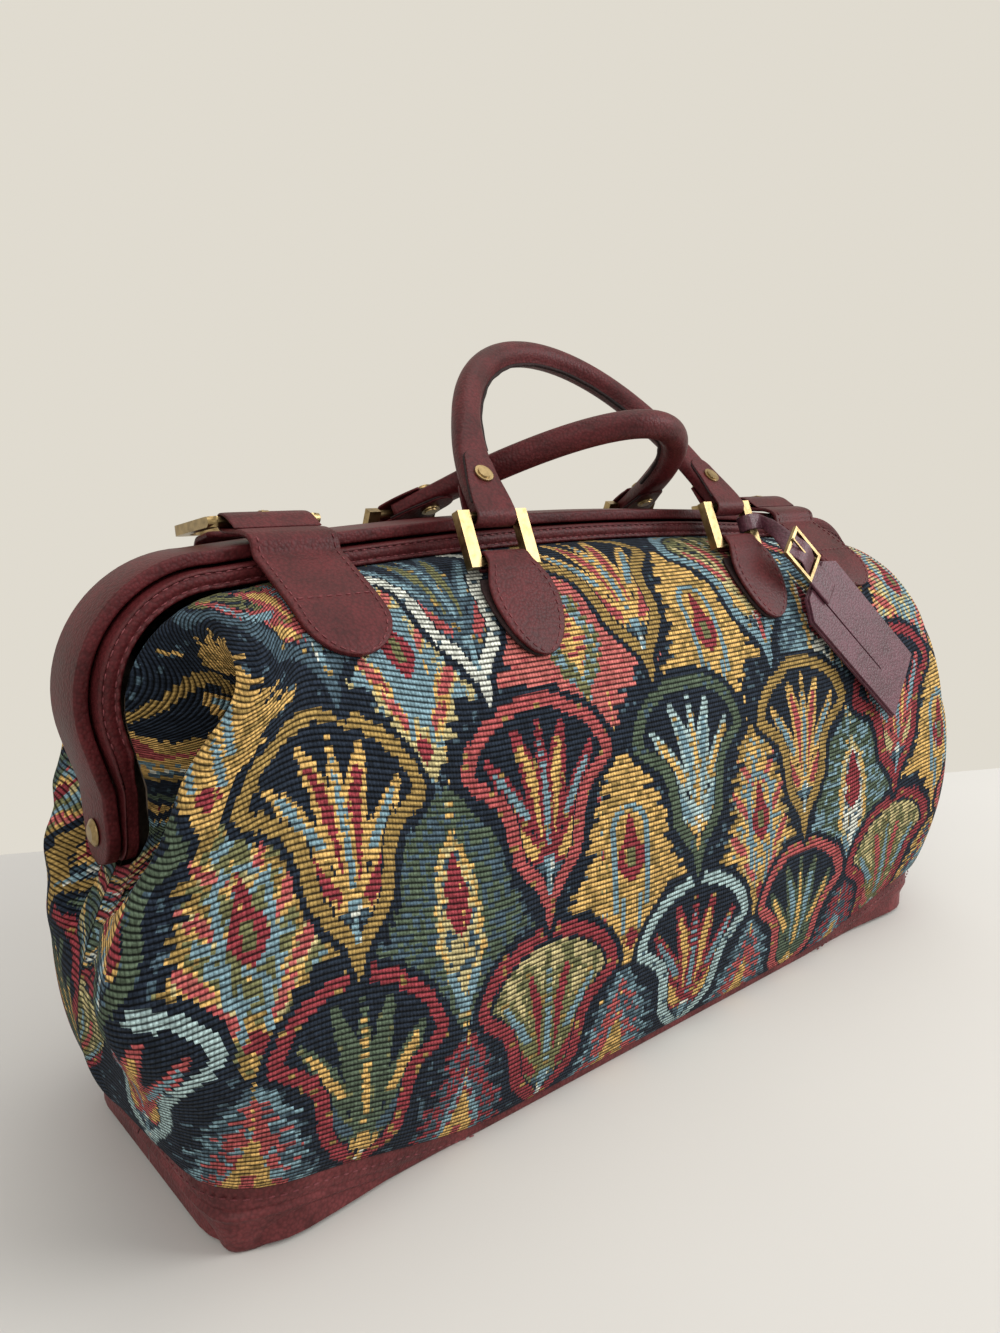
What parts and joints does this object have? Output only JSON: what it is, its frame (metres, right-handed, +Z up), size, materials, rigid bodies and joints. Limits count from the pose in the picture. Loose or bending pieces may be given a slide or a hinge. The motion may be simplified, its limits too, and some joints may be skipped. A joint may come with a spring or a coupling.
{
  "type": "carpet bag",
  "caption": "Soft tapestry travel bag with a leather base, hinged mouth frame, rolled handles on brass rings, buckled straps and a luggage tag.",
  "frame": {"origin": "centre of the underside of the leather base, on the table", "axes": "+X along the bag to the right seen from the front, -Y to the front, +Z up"},
  "size_m": [0.4902, 0.175, 0.3217],
  "materials": {
    "leather": "pebbled satin",
    "brass": "worn polish",
    "tapestry": "ribbed weave",
    "steel": "dull",
    "board": "raw"
  },
  "bodies": {
    "bag": {"leather_base": "leather", "base_board": "board", "front_panel": "tapestry", "rear_panel": "tapestry", "left_hinge_rivet": "brass", "right_hinge_rivet": "brass"},
    "front_frame": {"front_frame_bar": "steel", "front_frame_cover": "leather", "front_left_strap": "leather", "front_right_strap": "leather", "left_buckle": "brass", "right_buckle": "brass", "front_left_chape": "leather", "front_right_chape": "leather"},
    "rear_frame": {"rear_frame_bar": "steel", "rear_frame_cover": "leather", "rear_left_tongue": "leather", "rear_right_tongue": "leather", "rear_left_chape": "leather", "rear_right_chape": "leather"},
    "left_prong": {"left_buckle_prong": "brass"},
    "right_prong": {"right_buckle_prong": "brass"},
    "front_rings": {"front_left_ring": "brass", "front_right_ring": "brass"},
    "front_handle": {"front_handle": "leather", "front_handle_rivets": "brass"},
    "rear_rings": {"rear_left_ring": "brass", "rear_right_ring": "brass"},
    "rear_handle": {"rear_handle": "leather", "rear_handle_rivets": "brass"},
    "tag": {"tag_body": "leather", "tag_strap": "leather", "tag_buckle": "brass"},
    "tag_prong": {"tag_buckle_prong": "brass"}
  },
  "joints": [
    {"name": "front_frame_open", "type": "hinge", "parent": "bag", "child": "front_frame", "pos_m": [0, 0, 0.135], "axis": [1, 0, 0], "range_deg": [0, 35], "deforming": ["front_panel", "rear_left_tongue", "rear_right_tongue"]},
    {"name": "rear_frame_open", "type": "hinge", "parent": "bag", "child": "rear_frame", "pos_m": [0, 0, 0.135], "axis": [-1, 0, 0], "range_deg": [0, 35], "deforming": ["rear_panel", "rear_left_tongue", "rear_right_tongue"]},
    {"name": "front_rings_swing", "type": "hinge", "parent": "front_frame", "child": "front_rings", "pos_m": [0, -0.03933, 0.22236], "axis": [1, 0, 0], "range_deg": [0, 50]},
    {"name": "front_handle_swing", "type": "hinge", "parent": "front_rings", "child": "front_handle", "pos_m": [0, -0.032, 0.24], "axis": [1, 0, 0], "range_deg": [0, 65]},
    {"name": "rear_rings_swing", "type": "hinge", "parent": "rear_frame", "child": "rear_rings", "pos_m": [0, 0.03933, 0.22236], "axis": [-1, 0, 0], "range_deg": [0, 15]},
    {"name": "rear_handle_swing", "type": "hinge", "parent": "rear_rings", "child": "rear_handle", "pos_m": [0, 0.032, 0.24], "axis": [-1, 0, 0], "range_deg": [0, 20]},
    {"name": "left_prong_lift", "type": "hinge", "parent": "front_frame", "child": "left_prong", "pos_m": [-0.157, 0.006, 0.24035], "axis": [1, 0, 0], "range_deg": [0, 80]},
    {"name": "right_prong_lift", "type": "hinge", "parent": "front_frame", "child": "right_prong", "pos_m": [0.157, 0.006, 0.24035], "axis": [1, 0, 0], "range_deg": [0, 80]},
    {"name": "tag_swing", "type": "hinge", "parent": "front_frame", "child": "tag", "pos_m": [0.091, -0.03567, 0.23118], "axis": [-1, 0, 0], "range_deg": [0, 35], "deforming": ["tag_strap"]},
    {"name": "tag_prong_lift", "type": "hinge", "parent": "tag", "child": "tag_prong", "pos_m": [0.09608, -0.06452, 0.21663], "axis": [0.7314, 0.2107, 0.6486], "range_deg": [0, 60]}
  ]
}
